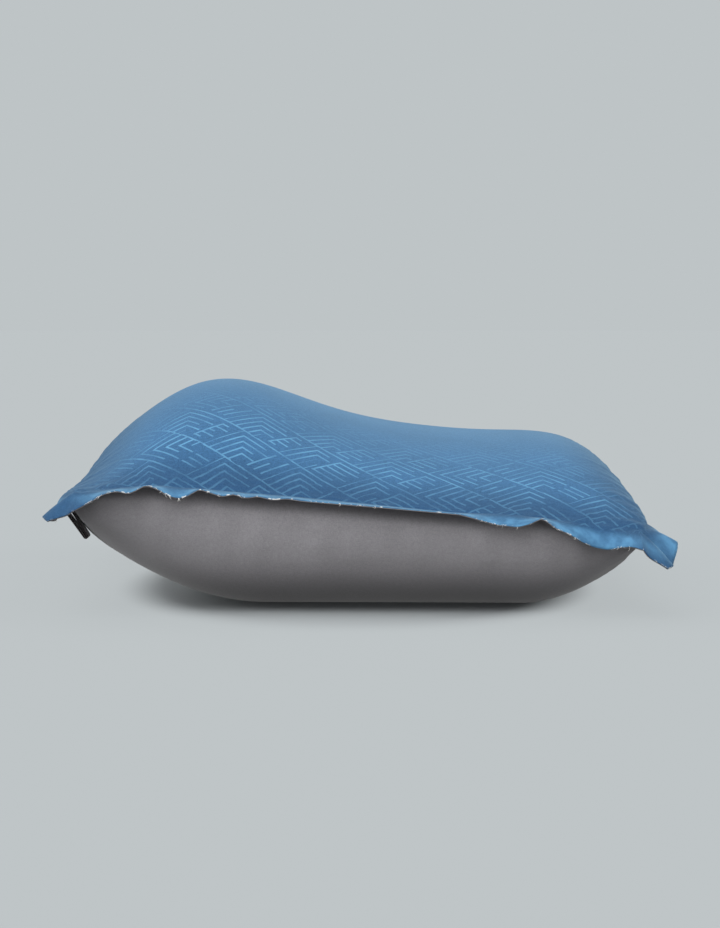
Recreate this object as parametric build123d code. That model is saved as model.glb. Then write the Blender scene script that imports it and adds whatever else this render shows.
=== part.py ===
"""Inflatable camp pillow: a high neck lobe along one long side, a low head rest along the other.

Frame, in millimetres: +X runs across the pillow from the neck lobe to the low side, +Y runs along
its length, +Z is up. The origin is on the ground under the middle of the pillow. Two fabric covers
are welded together round a flange that lies in a sloping plane, higher on the neck lobe's side,
and sags at the two corners there.
"""

import math
import os

from build123d import *

# Driving dimensions.
WELD_HALF_DEPTH = 152.0  # half the width between the welds, along X
WELD_HALF_LENGTH = 204.0  # half the length between the welds, along Y
FLANGE = 12.0  # width of the welded edge outside the air chamber
WALL = 0.8  # one layer of laminated fabric
SEAM_HEIGHT = 59.5  # height of the seam plane over the origin
SEAM_SLOPE = 0.08  # how far the seam plane falls for each millimetre along X
CORNER_SAG = 8.5  # how far the seam sags below its plane at the corners of the neck lobe's side
SAG_ACROSS = (50.0, 152.0)  # distances from the middle between which the sag grows, along -X
SAG_ALONG = (40.0, 160.0)  # and along Y, both ways
SIDE_PULL = 8.0  # how far inflation draws the long sides in at the middle
CORNER_PULL = 9.0  # how far the rounded corners draw the sides in at the ends
CORNER_POWER = 16  # how close to the ends the corners begin
CORNER_TAPER = 0.7  # how far the sides draw in for each millimetre past the end welds
SKIN_SHARE = 0.8  # share of the wall that the outer skin stands outside the inner one at the welds

# Upper cover: an even crown, with the neck lobe and a slight ridge along the low side added to it.
CROWN = 32.5
LOBE = 22.6
LOBE_X = -84.7
LOBE_WIDTH_OUT = 59.0  # how quickly the lobe fades towards the near long side
LOBE_WIDTH_IN = 64.0  # and towards the head rest
RIDGE = 3.5
RIDGE_X = 115.0
RIDGE_WIDTH = 34.0
LOBE_SIDE = (3.8, 0.7)  # power and roundness of the side that falls to the weld by the lobe
LOW_SIDE = (9.0, 0.4)  # the same for the low side
END = (2.4, 0.95)  # the same for both ends

# Lower cover: flat where it rests on the ground.
FLAT_LEFT = -50.0
FLAT_RIGHT = 88.0
FLAT_HALF_LENGTH = 118.0
SIDE_EASE = 1.15  # 1 makes the sides quarter ellipses, more makes them straighter

# Inner baffles, strips welded to both covers that hold the head rest down.
MIDDLE_BAFFLE_X = 16.0
REAR_BAFFLE_X = 84.0
BAFFLE_THICK = 0.8
BAFFLE_HALF_LENGTH = 128.0
BAFFLE_FOOT = 9.0  # width of the strip that is welded to a cover
BAFFLE_GAP = 0.5  # room between a baffle and the inside of a cover

# Two-stage air valve, on the lower cover's flat facet at the far end.
FACET_INNER_Y = 160.0
FACET_OUTER_Y = 197.0
VALVE_X = 52.0
SEAT_WELD_RADIUS = 21.0
SEAT_WELD_THICK = 0.9
COLLAR_RADIUS = 16.5
COLLAR_BORE = 13.0
COLLAR_RISE = 2.6  # how far the collar stands out of the cover
COLLAR_DEPTH = 3.4  # how far it reaches inside
LIP_RADIUS = 18.5
LIP_THICK = 1.2
COVER_HOLE_RADIUS = 16.8
PLUG_RADIUS = 17.0
PLUG_THICK = 1.8
PLUG_SKIRT_RADIUS = 12.4
PLUG_SKIRT_WALL = 1.6
PLUG_SKIRT_DEPTH = 4.0
PORT_RADIUS = 6.0
CAP_RADIUS = 10.5
CAP_THICK = 1.6
CAP_TURN = 90.0  # the cap's hinge is a quarter turn from the plug's, on the upper side
CAP_BOSS_RADIUS = 5.6
CAP_BOSS_DEPTH = 1.3
DISC_RADIUS = 8.2
DISC_THICK = 0.8
DISC_LIFT = 1.2
CAGE_WALL = 0.9
CAGE_SPOKES = 3
SPOKE_WIDTH = 1.4
HUB_RADIUS = 2.2
GRIP_OUTER_RADIUS = 8.0  # raised ring on the cap
GRIP_INNER_RADIUS = 6.5
GRIP_RISE = 0.5
FIT_GAP = 0.3  # room between pieces that move past each other
TAB_LENGTH = 6.0
TAB_WIDTH = 8.0
HINGE_WIDTH = 9.0
HINGE_REACH = 2.5  # how far a lid's hinge lies outside the lid's edge
LUG_REACH = 4.5  # how far the collar's lug reaches past its lip
SOFT_EDGE = 0.35  # chamfer on the moulded pieces' outer edges

# Webbing loops under the flange on the neck lobe's side, one near each corner.
LOOP_WIDTH = 12.0
LOOP_DROP = 21.0
LOOP_RIBBON = 0.9
LOOP_TOP_GAP = 2.2
LOOP_TIP_GAP = 1.0
LOOP_Y = 160.0
LOOP_OUT = 3.0  # how far outside the weld it is sewn on
LOOP_BELOW = 5.1  # how far its fold line hangs under the flange
LOOP_LEAN = 34.0  # degrees from hanging straight down, towards the cover


def ease(value, start, stop):
    """0 before start, 1 past stop, and an even curve between them."""
    share = min(max((value - start) / (stop - start), 0.0), 1.0)
    return share * share * (3 - 2 * share)


def seam_z(x, y):
    """Height of the seam: a sloping plane, with a sag towards the two corners beside the neck lobe."""
    sag = CORNER_SAG * ease(-x, *SAG_ACROSS) * ease(abs(y), *SAG_ALONG)
    return SEAM_HEIGHT - SEAM_SLOPE * x - sag


def weld_half_depth(y):
    """Half the width between the welds at y: pulled in at the middle and at the round corners."""
    share = min(abs(y) / WELD_HALF_LENGTH, 1.0)
    beyond = max(abs(y) - WELD_HALF_LENGTH, 0.0)
    pull = SIDE_PULL * (1 - share**2) + CORNER_PULL * share**CORNER_POWER + CORNER_TAPER * beyond
    return WELD_HALF_DEPTH - pull


def fall(share, power, roundness):
    """1 where share is 0 and 0 where it is 1 or more, as a rounded shoulder."""
    return (1 - min(share, 1.0) ** power) ** roundness


def crown_height(x, y):
    """Height of the inside of the upper cover over the seam plane."""
    across = fall(abs(x) / weld_half_depth(y), *(LOBE_SIDE if x < 0 else LOW_SIDE))
    width = LOBE_WIDTH_OUT if x < LOBE_X else LOBE_WIDTH_IN
    lobe = LOBE * math.exp(-(((x - LOBE_X) / width) ** 2))
    ridge = RIDGE * math.exp(-(((x - RIDGE_X) / RIDGE_WIDTH) ** 2))
    return (CROWN + lobe + ridge) * across * fall(abs(y) / WELD_HALF_LENGTH, *END)


def upper_section(y):
    """Closed outline of the upper cover and its flange in the plane at y."""
    inner = weld_half_depth(y)
    outer = inner + SKIN_SHARE * WALL
    edge = inner + FLANGE
    spread = [math.sin(math.radians(angle)) for angle in range(-90, 91, 15)]
    under = [(inner * s, seam_z(inner * s, y) + crown_height(inner * s, y)) for s in spread]
    over = [
        (outer * s, seam_z(outer * s, y) + WALL + crown_height(inner * s, y)) for s in reversed(spread)
    ]
    return outline(y, edge, under, over, WALL)


def belly_fall(y):
    """1 where the lower cover lies on the ground, 0 at the end welds, straight across the valve's facet."""
    stations = [
        (FLAT_HALF_LENGTH, 1.0),
        (FACET_INNER_Y, 0.80),
        (FACET_OUTER_Y, 0.20),
        (WELD_HALF_LENGTH, 0.0),
    ]
    if abs(y) <= stations[0][0]:
        return 1.0
    for (y0, f0), (y1, f1) in zip(stations, stations[1:]):
        if abs(y) <= y1:
            return f0 + (f1 - f0) * (abs(y) - y0) / (y1 - y0)
    return 0.0


def lower_z(x, y, wall, depth=1.0):
    """Height of the lower cover, where depth is 0 at the weld and 1 on the flat: 0 is the ground."""
    return (seam_z(x, y) - WALL) * (1 - depth * belly_fall(y)) + wall


def side_curve(x_weld, x_flat, y, wall):
    """Points of the lower cover from the weld down to where it lies flat, an eased quarter arc."""
    points = []
    for angle in range(0, 91, 15):
        out = math.cos(math.radians(angle)) ** SIDE_EASE
        down = math.sin(math.radians(angle)) ** SIDE_EASE
        x = x_flat + (x_weld - x_flat) * out
        points.append((x, lower_z(x, y, wall, down)))
    return points


def lower_section(y):
    """Closed outline of the lower cover and its flange in the plane at y."""
    inner = weld_half_depth(y)
    outer = inner + SKIN_SHARE * WALL
    edge = inner + FLANGE
    inside = [
        side_curve(-inner, FLAT_LEFT, y, WALL),
        side_curve(inner, FLAT_RIGHT, y, WALL),
    ]
    outside = [
        side_curve(-outer, FLAT_LEFT, y, 0.0),
        side_curve(outer, FLAT_RIGHT, y, 0.0),
    ]
    plane = Plane(origin=(0, y, 0), x_dir=(1, 0, 0), z_dir=(0, -1, 0))
    left, right = (-edge, seam_z(-edge, y)), (edge, seam_z(edge, y))
    left_under, right_under = (-edge, left[1] - WALL), (edge, right[1] - WALL)
    pieces = [
        Line(left, inside[0][0]),
        Spline(*inside[0]),
        Line(inside[0][-1], inside[1][-1]),
        Spline(*reversed(inside[1])),
        Line(inside[1][0], right),
        Line(right, right_under),
        Line(right_under, outside[1][0]),
        Spline(*outside[1]),
        Line(outside[1][-1], outside[0][-1]),
        Spline(*reversed(outside[0])),
        Line(outside[0][0], left_under),
        Line(left_under, left),
    ]
    return make_face(plane.from_local_coords(Curve() + pieces))


def outline(y, edge, under, over, wall):
    """A flange, a curve under the cover, a flange, and back over the cover, as one face at y."""
    plane = Plane(origin=(0, y, 0), x_dir=(1, 0, 0), z_dir=(0, -1, 0))
    right, left = (edge, seam_z(edge, y)), (-edge, seam_z(-edge, y))
    right_top, left_top = (edge, right[1] + wall), (-edge, left[1] + wall)
    pieces = [
        Line(left, under[0]),
        Spline(*under),
        Line(under[-1], right),
        Line(right, right_top),
        Line(right_top, over[0]),
        Spline(*over),
        Line(over[-1], left_top),
        Line(left_top, left),
    ]
    return make_face(plane.from_local_coords(Curve() + pieces))


def both_ways(distances):
    """The distances on both sides of the middle, in order along Y."""
    return [-d for d in reversed(distances)] + [d for d in distances if d > 0]


# Distances from the middle of the pillow at which both covers take their sections.
STATIONS = [0.0, 40.0, 60.0, 80.0, 100.0, FLAT_HALF_LENGTH, 140.0, FACET_INNER_Y, 178.0, 190.0]
STATIONS += [FACET_OUTER_Y, 201.0, WELD_HALF_LENGTH, WELD_HALF_LENGTH + FLANGE / 2]
STATIONS += [WELD_HALF_LENGTH + FLANGE]


def upper_cover():
    """Patterned stretch fabric, laminated with film: the dome over the air chamber and its flange."""
    return loft([upper_section(y) for y in both_ways(STATIONS)], ruled=True)


def lower_cover(valve):
    """Plain fabric, laminated with film: the base and its flange, with the valve's hole cut in it."""
    cover = loft([lower_section(y) for y in both_ways(STATIONS)], ruled=True)
    return cover - valve * Cylinder(COVER_HOLE_RADIUS, 12.0)


def baffle(x):
    """Strip along Y, folded and welded to both covers, which ties the upper cover to the lower one."""
    ends = both_ways([0.0, 40.0, 80.0, BAFFLE_HALF_LENGTH * 0.85, BAFFLE_HALF_LENGTH])

    def foot_top(y):
        return seam_z(x, y) + crown_height(x, y) - 3 * BAFFLE_GAP

    low = lower_z(x, 0, WALL) + BAFFLE_GAP
    upper = [(y, foot_top(y)) for y in ends]
    rim = [(y, z - BAFFLE_THICK) for y, z in reversed(upper)]
    first, last = ends[0], ends[-1]
    foot_half = BAFFLE_FOOT / 2

    def strip(points, half_width):
        side = Plane(origin=(x + half_width, 0, 0), x_dir=(0, 1, 0), z_dir=(1, 0, 0))
        return extrude(side * make_face(Polyline(*points, close=True)), -2 * half_width)

    web = strip([(first, low)] + upper + [(last, low)], BAFFLE_THICK / 2)
    top_foot = strip(upper + rim, foot_half)
    bottom_foot = strip(
        [
            (-FLAT_HALF_LENGTH, low),
            (FLAT_HALF_LENGTH, low),
            (FLAT_HALF_LENGTH, low + BAFFLE_THICK),
            (-FLAT_HALF_LENGTH, low + BAFFLE_THICK),
        ],
        foot_half,
    )
    # The lower corners are cut off where the lower cover rises from the ground.
    corner = FLAT_HALF_LENGTH - 4
    rise = lower_z(x, BAFFLE_HALF_LENGTH, WALL) + 3 * BAFFLE_GAP
    for side in (-1, 1):
        notch = [(side * corner, low - 1), (side * (last + 1), low - 1), (side * (last + 1), rise)]
        web = web - strip(notch, BAFFLE_FOOT)
    return web + top_foot + bottom_foot


def valve_location():
    """Middle of the valve on the lower cover's far facet, with local +Z pointing out of the pillow."""
    inner = Vector(VALVE_X, FACET_INNER_Y, lower_z(VALVE_X, FACET_INNER_Y, 0.0))
    outer = Vector(VALVE_X, FACET_OUTER_Y, lower_z(VALVE_X, FACET_OUTER_Y, 0.0))
    across = Vector(
        1, 0, lower_z(VALVE_X + 1, FACET_OUTER_Y, 0.0) - lower_z(VALVE_X, FACET_OUTER_Y, 0.0)
    )
    normal = (outer - inner).cross(across).normalized()
    if normal.Z > 0:
        normal = -normal
    middle = (inner + outer) * 0.5 + normal * FIT_GAP
    return Location(Plane(origin=middle, x_dir=(1, 0, 0), z_dir=normal))


def valve_seat():
    """Moulded collar through the cover, with a ring inside that is welded to it and a lip outside."""
    ring_top = -(WALL + 3 * FIT_GAP)
    ring = Pos(0, 0, ring_top - SEAT_WELD_THICK / 2) * Cylinder(SEAT_WELD_RADIUS, SEAT_WELD_THICK)
    height = COLLAR_RISE + COLLAR_DEPTH
    collar = Pos(0, 0, COLLAR_RISE - height / 2) * Cylinder(COLLAR_RADIUS, height)
    lip = Pos(0, 0, COLLAR_RISE - LIP_THICK / 2) * Cylinder(LIP_RADIUS, LIP_THICK)
    lip = soften(lip)
    lug = Pos(-LIP_RADIUS, 0, COLLAR_RISE - LIP_THICK / 2) * Box(2 * LUG_REACH, HINGE_WIDTH, LIP_THICK)
    body = ring + collar + lip + lug
    return body - Pos(0, 0, COLLAR_RISE - height / 2) * Cylinder(COLLAR_BORE, height + 1)


def soften(disc):
    """The disc with its outer rim chamfered on the side that faces away from the pillow."""
    rim = disc.edges().filter_by(GeomType.CIRCLE).group_by(Axis.Z)[-1]
    return chamfer(rim, SOFT_EDGE)


def hinge_tab(radius, thick, width):
    """Block on the side of a lid, out to its hinge line."""
    length = 2 * HINGE_REACH
    return Pos(-radius, 0, thick / 2) * Box(length, width, thick)


def tongue(radius, thick, length, width):
    """Flat rounded pull tab on the edge of a lid, opposite its hinge."""
    tab = SlotOverall(2 * length + width, width)
    return Pos(radius, 0, thick / 2) * extrude(tab, thick / 2, both=True)


PLUG_BASE = COLLAR_RISE + FIT_GAP
CAP_BASE = PLUG_BASE + PLUG_THICK + FIT_GAP


def deflate_plug():
    """Middle stage: a lid with a skirt in the collar's bore, an air port, a hinge and a pull tab."""
    lid = soften(Pos(0, 0, PLUG_THICK / 2) * Cylinder(PLUG_RADIUS, PLUG_THICK))
    lid += tongue(PLUG_RADIUS, PLUG_THICK, TAB_LENGTH, TAB_WIDTH)
    lid += hinge_tab(PLUG_RADIUS, PLUG_THICK, HINGE_WIDTH)
    skirt = Pos(0, 0, -PLUG_SKIRT_DEPTH / 2) * (
        Cylinder(PLUG_SKIRT_RADIUS, PLUG_SKIRT_DEPTH)
        - Cylinder(PLUG_SKIRT_RADIUS - PLUG_SKIRT_WALL, PLUG_SKIRT_DEPTH)
    )
    port = Pos(0, 0, PLUG_THICK / 2) * Cylinder(PORT_RADIUS, PLUG_THICK + 1)
    return Pos(0, 0, PLUG_BASE) * (lid + skirt - port)


def check_disc():
    """Soft disc under the port. Air from outside pushes it off the port, air inside closes it."""
    return Pos(0, 0, PLUG_BASE - FIT_GAP / 3 - DISC_THICK / 2) * Cylinder(DISC_RADIUS, DISC_THICK)


def disc_cage():
    """Spoked ring inside the plug's skirt that keeps the check disc under the port."""
    radius = PLUG_SKIRT_RADIUS - PLUG_SKIRT_WALL
    top = PLUG_BASE - FIT_GAP - DISC_THICK - DISC_LIFT - FIT_GAP
    rim_height = PLUG_BASE - top
    rim = Pos(0, 0, top + rim_height / 2) * (
        Cylinder(radius, rim_height) - Cylinder(radius - CAGE_WALL, rim_height)
    )
    cage = rim + Pos(0, 0, top - CAGE_WALL / 2) * (
        Cylinder(radius, CAGE_WALL) - Cylinder(radius - 2 * CAGE_WALL, CAGE_WALL)
    )
    cage += Pos(0, 0, top - CAGE_WALL / 2) * Cylinder(HUB_RADIUS, CAGE_WALL)
    for spoke in range(CAGE_SPOKES):
        arm = Pos(radius / 2, 0, 0) * Box(radius - CAGE_WALL / 2, SPOKE_WIDTH, CAGE_WALL)
        cage += Rot(0, 0, 360 / CAGE_SPOKES * spoke + 90) * Pos(0, 0, top - CAGE_WALL / 2) * arm
    return cage


def inflate_cap():
    """Outer lid: its boss closes the port, and it has a hinge and a pull tab of its own."""
    lid = soften(Pos(0, 0, CAP_THICK / 2) * Cylinder(CAP_RADIUS, CAP_THICK))
    lid += tongue(CAP_RADIUS, CAP_THICK, TAB_LENGTH * 0.7, TAB_WIDTH * 0.8)
    lid += hinge_tab(CAP_RADIUS, CAP_THICK, HINGE_WIDTH * 0.7)
    boss = Pos(0, 0, -CAP_BOSS_DEPTH / 2) * Cylinder(CAP_BOSS_RADIUS, CAP_BOSS_DEPTH)
    grip = Cylinder(GRIP_OUTER_RADIUS, GRIP_RISE) - Cylinder(GRIP_INNER_RADIUS, GRIP_RISE)
    grip = Pos(0, 0, CAP_THICK) * grip
    return Pos(0, 0, CAP_BASE) * Rot(0, 0, CAP_TURN) * (lid + boss + grip)


def webbing_loop():
    """Ribbon folded on itself, open inside for a cord, with its cut ends up under the flange."""
    top, tip = LOOP_TOP_GAP / 2, LOOP_TIP_GAP / 2
    inner = [(-top, 0), (-tip, -LOOP_DROP + 2 * tip), (tip, -LOOP_DROP + 2 * tip), (top, 0)]
    wall = LOOP_RIBBON
    outer = [
        (-top - wall, 0),
        (-tip - wall, -LOOP_DROP),
        (-tip, -LOOP_DROP - wall),
        (tip, -LOOP_DROP - wall),
        (tip + wall, -LOOP_DROP),
        (top + wall, 0),
    ]
    profile = make_face(Polyline(*outer, *reversed(inner), close=True))
    bridge = make_face(
        Polyline((-top - wall, 0), (top + wall, 0), (top + wall, wall), (-top - wall, wall), close=True)
    )
    ribbon = extrude(Plane.XZ * (profile + bridge), LOOP_WIDTH / 2, both=True)
    return Rot(0, -LOOP_LEAN, 0) * ribbon


def loop_location(side):
    """Where a loop's fold line is, under the flange beside the weld."""
    y = side * LOOP_Y
    x = -weld_half_depth(y) - LOOP_OUT
    return Pos(x, y, seam_z(x, y) - WALL - LOOP_BELOW)


def main():
    valve = valve_location()
    nodes = {
        "upper_cover": upper_cover(),
        "lower_cover": lower_cover(valve),
        "middle_baffle": baffle(MIDDLE_BAFFLE_X),
        "rear_baffle": baffle(REAR_BAFFLE_X),
        "valve_seat": valve * valve_seat(),
        "deflate_plug": valve * deflate_plug(),
        "check_disc": valve * check_disc(),
        "disc_cage": valve * disc_cage(),
        "inflate_cap": valve * inflate_cap(),
        "near_loop": loop_location(-1) * webbing_loop(),
        "far_loop": loop_location(1) * webbing_loop(),
    }
    os.makedirs("parts", exist_ok=True)
    for name, shape in nodes.items():
        export_step(shape, f"parts/{name}.step")


main()
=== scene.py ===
"""Inflatable camp pillow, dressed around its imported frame.

Everything is in metres, in the frame's own axes: +X from the neck lobe to the low side, +Y along the pillow
towards the valve, +Z up, with the ground at zero. The two covers are shaped from the same driving dimensions
as the frame, settled as cloth under air pressure, and given their welded, ruffled flange.
"""

import math

import bmesh
import bpy
import numpy as np
from mathutils import Matrix, Vector


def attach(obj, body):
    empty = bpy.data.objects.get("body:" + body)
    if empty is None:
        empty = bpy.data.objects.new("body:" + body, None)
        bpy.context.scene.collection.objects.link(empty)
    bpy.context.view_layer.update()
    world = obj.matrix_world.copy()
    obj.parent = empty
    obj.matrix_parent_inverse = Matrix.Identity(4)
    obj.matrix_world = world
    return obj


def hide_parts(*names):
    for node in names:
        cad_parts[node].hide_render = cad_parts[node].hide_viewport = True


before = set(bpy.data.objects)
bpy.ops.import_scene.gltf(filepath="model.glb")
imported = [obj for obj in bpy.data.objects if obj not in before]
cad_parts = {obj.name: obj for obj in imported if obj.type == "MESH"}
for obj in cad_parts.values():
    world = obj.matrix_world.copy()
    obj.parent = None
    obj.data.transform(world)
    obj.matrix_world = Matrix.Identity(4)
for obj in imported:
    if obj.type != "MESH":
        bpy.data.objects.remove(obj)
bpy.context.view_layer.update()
MM = 0.001
TINY = 1e-12

# Driving dimensions, the same as the frame's.
WELD_HALF_DEPTH = 152 * MM
WELD_HALF_LENGTH = 204 * MM
FLANGE = 12 * MM
SEAM_HEIGHT = 59.5 * MM
SEAM_SLOPE = 0.08
CORNER_SAG = 8.5 * MM
SAG_ALONG = (40 * MM, 160 * MM)
SIDE_PULL = 8 * MM
CORNER_PULL = 9 * MM
CORNER_POWER = 16
CROWN = 32.5 * MM
LOBE = 22.6 * MM
LOBE_X = -84.7 * MM
LOBE_WIDTH_OUT = 59 * MM
LOBE_WIDTH_IN = 64 * MM
RIDGE = 3.5 * MM
RIDGE_X = 115 * MM
RIDGE_WIDTH = 34 * MM
LOBE_SIDE = (3.8, 0.7)
LOW_SIDE = (9.0, 0.4)
END = (2.4, 0.95)
FLAT_LEFT = -50 * MM
FLAT_RIGHT = 88 * MM
SIDE_EASE = 1.125
VALVE = Vector((0.052, 0.1787, 0.0270))  # middle of the valve on the lower cover's far facet
VALVE_OUT = Vector((-0.047885, 0.661737, -0.748205))
COVER_HOLE_RADIUS = 16.6 * MM
LOOP_HINGE = Vector((-0.151737, 0.160, 0.057239))  # the far loop's; the near one mirrors it
LOOP_LEAN = math.radians(34)
LOOP_WIDTH = 12 * MM
LOOP_DROP = 21 * MM
RIBBON = 0.85 * MM

# What only the fabric shows. The frame keeps these places plain.
SOFT_SAG_ACROSS = (95 * MM, 150 * MM)
END_CORNER_PULL = 6 * MM
NEAR_END_PULL = 3 * MM
NEAR_BELLY = (6.4, 0.72)
FAR_BELLY = [(0, 1), (118, 1), (160, 0.80), (197, 0.20), (204, 0)]  # mm along the pillow, share of the depth
LAYER = 0.4 * MM  # one layer of the laminated fabric
END_FADE = 26 * MM  # how far in from an end its weld's wandering reaches
VALVE_CLEAR = (24 * MM, 45 * MM)  # distances from the valve between which the puckers set in
GROUND_GAP = 0.02 * MM  # the lower cover's lowest place above the ground

# The near end's weld and its ruffled edge: mm across the pillow, mm above the seam.
NEAR_WELD = [(-152, 2.8), (-134, 2.4), (-118, 2.2), (-104, 1.6), (-29, 1.2), (50, -0.5), (75, 1.2)]
NEAR_WELD += [(101, 0.2), (120, -1.3), (133, -2.5), (152, -2.8)]
NEAR_EDGE = [(-160, -18), (-145, -15.5), (-133, -8), (-127, -3.8), (-120, -1.5), (-115, -2.7), (-111, -1)]
NEAR_EDGE += [(-106, 2.6), (-99, 0.7), (-94, -2.5), (-88, -3.2), (-84, -0.8), (-79, 2.7), (-73, 1)]
NEAR_EDGE += [(-67, -0.4), (-62, 1.6), (-56, -0.4), (-50, 1.4), (-42, -0.2), (-36, 1.3), (-28, 0.6)]
NEAR_EDGE += [(11, 0.5), (51, 0.2), (60, -1.6), (70, -3.7), (80, -4.1), (86, -2), (92, 1.9), (95, 0)]
NEAR_EDGE += [(99, -3), (106, -5.4), (112, -9), (118, -11.6), (125, -12.4), (132, -10.0), (137, -9.2)]
NEAR_EDGE += [(142, -10.2), (147, -11.5), (152, -14), (160, -18)]

# How far each edge's flange and each corner's ear hangs below the seam plane, in degrees. Keys are the side
# (-1 lobe, 1 low) and the end (-1 near, 1 far).
SIDE_HANG = {-1: 68, 1: 46}
FAR_HANG = 20
EARS = {(-1, -1): 41, (1, -1): 45, (-1, 1): 34, (1, 1): 46}
SIDE_WANDER = 7
FAR_WANDER = 13
FAR_LOOP_FLARE = 50  # how far the flange is turned up over the far loop, which swings out under it
LOW_SIDE_FLARE = 26  # how far it turns up beside the near ear of the low side
LOW_SIDE_FLARE_Y = -191 * MM
SIDE_CORNER_PULL = {-1: 9 * MM, 1: 11 * MM}
EAR_ROUND = 0.2  # how much of an ear's length its rounded tip takes away
FLANGE_CURL = 0.9  # share of the hang that the flange gains as a curl on its way out
EAR_CURL_LOSS = 0.7  # how much of that curl is gone at the corners

# Mesh sizes.
CELLS_ACROSS = 132
CELLS_ALONG = 176
EDGE_CROWDING = 0.6
FLANGE_CELLS = 10

# Puckers beside the welds: height, reach inwards, and wavelengths along the weld.
UPPER_PUCKERS = (0.32 * MM, 6 * MM, (0.019, 0.012, 0.031))
LOWER_PUCKERS = (0.60 * MM, 6.5 * MM, (0.017, 0.028, 0.041))

# The short cloth simulation of the covers under air pressure.
CLOTH_FRAMES = 16
CLOTH_SETTINGS = {
    "quality": 6,
    "mass": 0.12,
    "air_damping": 3,
    "tension_stiffness": 40,
    "compression_stiffness": 40,
    "shear_stiffness": 15,
    "bending_stiffness": 0.15,
    "vertex_group_mass": "pins",
    "use_pressure": True,
    "uniform_pressure_force": 3.0,
    "vertex_group_shrink": "spare",
    "shrink_min": 0.0,
    "shrink_max": -0.05,
}
UNEVEN = 0.12 * MM  # random start, in which the folds form
SPARE_CELLS = 18  # how many cells in from the weld the spare fabric reaches
BROAD_CELLS = 9  # half the width of the average that counts as broad swelling
KEEP_SHAPE = 0.9  # share of the broad swelling that is taken out again
CLOTH_CAP = 2.0 * MM
CLOTH_REACH = 45 * MM  # how far in from the weld the simulated puckers fade out

# Loops and stitches.
LOOP_TOP_HALF = 1.5 * MM
LOOP_TIP_HALF = 0.9 * MM
STITCHES = 9
STITCH_LENGTH = 1.5 * MM
STITCH_RADIUS = 0.16 * MM
STITCH_ROW_HALF = 4.8

# Threads frayed from the cut edge, in mm.
THREAD_SHAPES = [
    [(0, 0, 0), (0.3, 0.1, 0.8), (0.9, 0.2, 1.4), (1.6, -0.1, 1.7)],
    [(0, 0, 0), (-0.2, 0.2, 0.7), (-0.1, 0.5, 1.5), (0.5, 0.6, 2.2)],
    [(0, 0, 0), (0.5, -0.2, 0.5), (1.4, -0.2, 0.7), (2.2, 0.1, 0.4)],
    [(0, 0, 0), (0.1, 0.1, 0.9), (-0.4, 0.3, 1.7), (-1.2, 0.2, 2.1)],
]
THREAD_RADIUS = 0.11 * MM
THREAD_TAPER = 0.8
TUFT = 3  # threads that start close together
NEAR_THREADS = 84
OTHER_THREADS = 40  # along each of the other three edges
CORNER_CELLS = 18  # cells at each corner that stay without threads

# The print's units are one spacing between its lines.
PRINT_SPACING = 4.8 * MM
PRINT_LINE = 0.2
STRIP_LINES = 6.0
CELL_LINES = 9.0
STRIP_SHIFT = 3.55

# Colours.
KNIT_BLUE = (0.039, 0.127, 0.266, 1)
# painted shade beside the weld and in the ears
SHADE_BLUE = (0.012, 0.04, 0.10, 1)
PRINT_BLUE = (0.132, 0.352, 0.57, 1)
# the flange's own paler colour with a painted highlight
FLANGE_BLUE_AND_HIGHLIGHT = (0.10, 0.27, 0.46, 1)
CUT_FILM = (0.74, 0.76, 0.74, 1)
CUT_YARN = (0.80, 0.81, 0.78, 1)
PLAIN_GREY = (0.345, 0.336, 0.357, 1)
HANDLED_GREY = (0.13, 0.128, 0.135, 1)
# painted shade near the ground and under the flange
PAINTED_SHADE_GREY = (0.035, 0.035, 0.04, 1)
TAPE_BROWN = (0.045, 0.034, 0.036, 1)
TAPE_SELVEDGE = (0.028, 0.022, 0.024, 1)
BROWN_YARN = (0.07, 0.055, 0.058, 1)
VALVE_BLACK = (0.035, 0.037, 0.042, 1)
DISC_BLACK = (0.09, 0.09, 0.095, 1)
FILM_GREY = (0.55, 0.56, 0.57, 1)
PAPER = (0.463, 0.496, 0.508, 1)
PAPER_MOTTLE = (0.47, 0.50, 0.52, 1)
PAPER_LIT = (0.515, 0.552, 0.565, 1)
AMBIENT = (0.34, 0.34, 0.34, 1)
FROM_BELOW = (0.11, 0.11, 0.11, 1)

# Far lights: azimuth and elevation in degrees, strength, and width in degrees.
LIGHTS = {
    "key_light": (-108, 40, 1.9, 50),
    "front_light": (-86, 16, 1.2, 60),
    "left_light": (-165, 22, 0.9, 60),
    "right_light": (-18, 26, 0.85, 60),
    "back_light": (115, 62, 0.4, 50),
}
FLOOR_RADIUS = 14
CONTACT_HALVES = (0.112, 0.205)  # the part of the floor that is left to its shadow

CAMERA_DISTANCE = 1.6
CAMERA_ELEVATION = math.radians(4)
CAMERA_TARGET = Vector((0, 0, 0.05))
CAMERA_SHIFT = Vector((0.0014, 0, 0.0184))
SENSOR_MM = 36
LENS_MM = 107.7


# ---- The air chamber's shape ---------------------------------------------------------------------


def fall(share, power, roundness):
    """1 where share is 0 and 0 where it is 1 or more, as a rounded shoulder."""
    return (1 - np.clip(share, 0, 1) ** power) ** roundness


def smooth_through(points, x, blur=1.5 * MM):
    """A line through (mm, mm) points, read at x with its corners rounded over a few millimetres."""
    at = np.array([p[0] for p in points]) * MM
    heights = np.array([p[1] for p in points]) * MM
    shifts = np.linspace(-2, 2, 9)
    weights = np.exp(-(shifts**2) / 2)
    return sum(w * np.interp(x + s * blur, at, heights) for s, w in zip(shifts, weights)) / weights.sum()


def waves(t, seed, lengths):
    """A gentle irregular wave of size about one along t, from a few lengths."""
    phases = np.random.default_rng(seed).uniform(0, 2 * math.pi, len(lengths))
    total = sum(np.sin(2 * math.pi * t / length + phase) for length, phase in zip(lengths, phases))
    return total / math.sqrt(len(lengths))


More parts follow.
